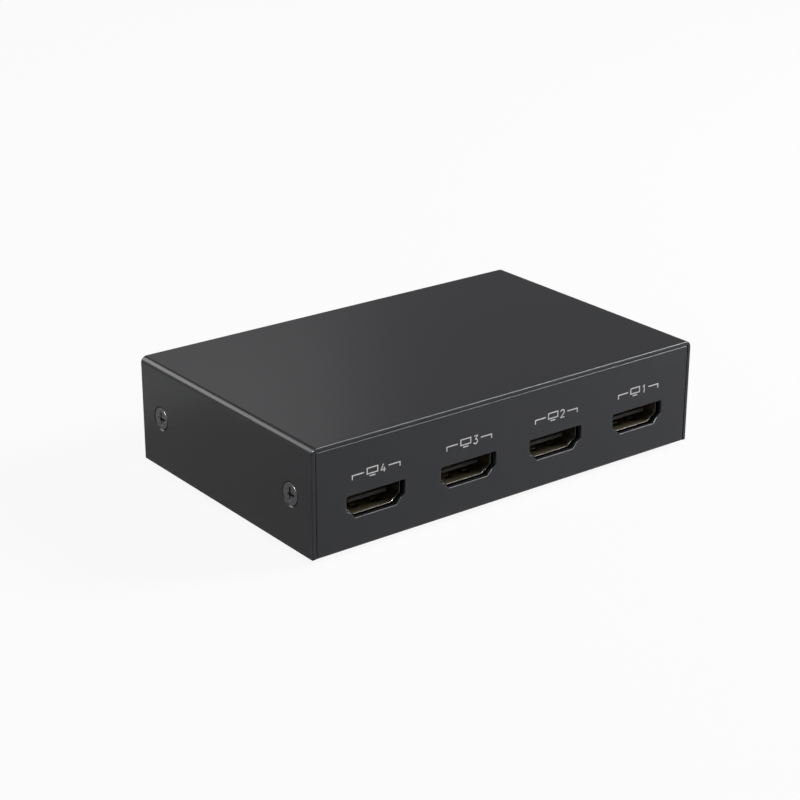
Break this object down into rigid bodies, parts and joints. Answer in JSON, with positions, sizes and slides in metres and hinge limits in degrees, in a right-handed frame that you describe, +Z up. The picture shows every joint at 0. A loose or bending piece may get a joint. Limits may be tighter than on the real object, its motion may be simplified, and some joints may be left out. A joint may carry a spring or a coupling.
{
  "type": "hdmi splitter",
  "caption": "Low sheet-metal box that repeats one display signal to a row of sockets: U-shaped cover over a tray, side screws, board, sockets and a power jack.",
  "frame": {"origin": "on the surface it stands on, under the middle of the case", "axes": "+X to the right across the front panel, +Y from the front panel to the rear panel, +Z up"},
  "size_m": [0.106, 0.0668, 0.0261],
  "materials": {
    "powder_coat": "fine-textured charcoal powder coat",
    "screw_steel": "zinc-plated steel",
    "foot_rubber": "moulded rubber",
    "board_laminate": "glass-fibre board with black solder mask",
    "standoff_steel": "zinc-plated steel",
    "socket_plate": "nickel-plated brass",
    "socket_moulding": "moulded black liquid-crystal polymer",
    "contact_gold": "gold-flashed bronze",
    "jack_moulding": "moulded black nylon",
    "jack_plate": "nickel-plated brass",
    "lamp_red": "tinted clear epoxy",
    "lamp_green": "tinted clear epoxy",
    "holder_nylon": "moulded black nylon",
    "tinned_lead": "tinned copper",
    "chip_epoxy": "moulded epoxy",
    "pad_silicone": "soft silicone",
    "sink_aluminium": "black anodised",
    "ferrite": "ground ferrite",
    "can_aluminium": "drawn aluminium",
    "capacitor_base": "moulded",
    "crystal_steel": "drawn nickel-plated steel",
    "fuse_polymer": "coated polymer",
    "capacitor_ceramic": "fired ceramic",
    "resistor_ceramic": "glazed ceramic"
  },
  "bodies": {
    "root": {"top_cover": "powder_coat", "base_tray": "powder_coat", "side_screws": "screw_steel", "rubber_feet": "foot_rubber", "circuit_board": "board_laminate", "board_standoffs": "standoff_steel", "board_screws": "standoff_steel", "power_jack_housing": "jack_moulding", "power_jack_pin": "jack_plate", "power_jack_spring": "jack_plate", "power_lamp": "lamp_red", "output_lamps": "lamp_green", "lamp_legs": "tinned_lead", "lamp_holders": "holder_nylon", "splitter_chip": "chip_epoxy", "splitter_chip_leads": "tinned_lead", "thermal_pad": "pad_silicone", "heat_sink": "sink_aluminium", "controller_chip": "chip_epoxy", "controller_leads": "tinned_lead", "memory_chips": "chip_epoxy", "memory_leads": "tinned_lead", "converter_chip": "chip_epoxy", "converter_leads": "tinned_lead", "regulator": "chip_epoxy", "regulator_leads": "tinned_lead", "surge_arrays": "chip_epoxy", "power_coil": "ferrite", "power_coil_terminals": "tinned_lead", "capacitor_cans": "can_aluminium", "capacitor_bases": "capacitor_base", "crystal_can": "crystal_steel", "crystal_base": "capacitor_base", "fuse_body": "fuse_polymer", "fuse_ends": "tinned_lead", "ceramic_capacitors": "capacitor_ceramic", "lamp_resistors": "resistor_ceramic", "output_1_shell": "socket_plate", "output_1_insulator": "socket_moulding", "output_1_contacts": "contact_gold", "output_2_shell": "socket_plate", "output_2_insulator": "socket_moulding", "output_2_contacts": "contact_gold", "output_3_shell": "socket_plate", "output_3_insulator": "socket_moulding", "output_3_contacts": "contact_gold", "output_4_shell": "socket_plate", "output_4_insulator": "socket_moulding", "output_4_contacts": "contact_gold", "input_shell": "socket_plate", "input_insulator": "socket_moulding", "input_contacts": "contact_gold"}
  },
  "joints": []
}
